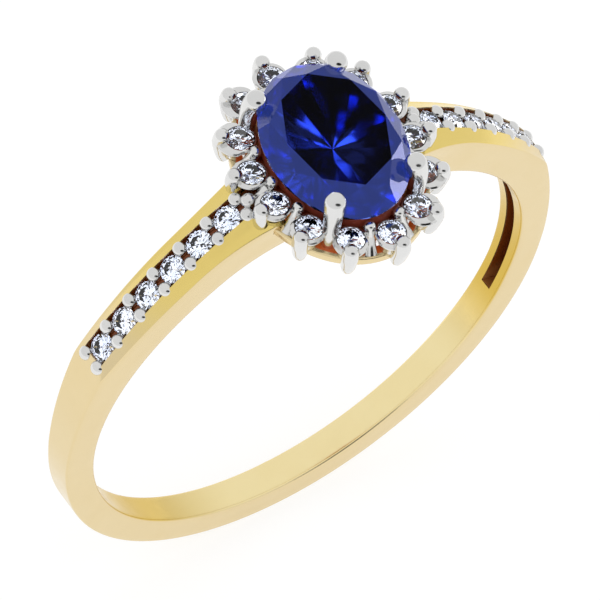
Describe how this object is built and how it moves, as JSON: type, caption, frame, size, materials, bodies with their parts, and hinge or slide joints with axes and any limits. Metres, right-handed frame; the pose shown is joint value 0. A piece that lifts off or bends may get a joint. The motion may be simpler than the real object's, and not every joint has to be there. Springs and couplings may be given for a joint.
{
  "type": "engagement ring",
  "caption": "Halo engagement ring: an oval blue stone in claws inside a ring of small diamonds, on a slim gold band with bead-set diamond shoulders and an open round bore for the finger.",
  "frame": {"origin": "centre of the finger bore, halfway through the band", "axes": "+Y along the finger bore, +Z from the centre of the bore up through the centre stone, X across the shoulders"},
  "size_m": [0.0186, 0.0086, 0.0207],
  "materials": {
    "yellow_gold": "mirror-polished yellow gold",
    "white_gold": "polished rhodium-plated white gold",
    "sapphire": "faceted blue sapphire",
    "diamond": "faceted colourless diamond"
  },
  "bodies": {
    "root": {"shank": "yellow_gold", "gallery_rail": "yellow_gold", "halo_plate": "yellow_gold", "stone_seat": "yellow_gold", "centre_sapphire": "sapphire", "claw_front_left": "white_gold", "claw_front_right": "white_gold", "claw_back_left": "white_gold", "claw_back_right": "white_gold", "halo_diamond_01": "diamond", "halo_diamond_02": "diamond", "halo_diamond_03": "diamond", "halo_diamond_04": "diamond", "halo_diamond_05": "diamond", "halo_diamond_06": "diamond", "halo_diamond_07": "diamond", "halo_diamond_08": "diamond", "halo_diamond_09": "diamond", "halo_diamond_10": "diamond", "halo_diamond_11": "diamond", "halo_diamond_12": "diamond", "halo_diamond_13": "diamond", "halo_diamond_14": "diamond", "halo_claw_01": "white_gold", "halo_claw_02": "white_gold", "halo_claw_03": "white_gold", "halo_claw_04": "white_gold", "halo_claw_05": "white_gold", "halo_claw_06": "white_gold", "halo_claw_07": "white_gold", "halo_claw_08": "white_gold", "halo_claw_09": "white_gold", "halo_claw_10": "white_gold", "halo_claw_11": "white_gold", "halo_claw_12": "white_gold", "halo_claw_13": "white_gold", "halo_claw_14": "white_gold", "halo_beads": "white_gold", "shoulder_beads_left": "white_gold", "shoulder_beads_right": "white_gold", "shoulder_diamond_left_1": "diamond", "shoulder_diamond_left_2": "diamond", "shoulder_diamond_left_3": "diamond", "shoulder_diamond_left_4": "diamond", "shoulder_diamond_left_5": "diamond", "shoulder_diamond_left_6": "diamond", "shoulder_diamond_right_1": "diamond", "shoulder_diamond_right_2": "diamond", "shoulder_diamond_right_3": "diamond", "shoulder_diamond_right_4": "diamond", "shoulder_diamond_right_5": "diamond", "shoulder_diamond_right_6": "diamond"}
  },
  "joints": []
}
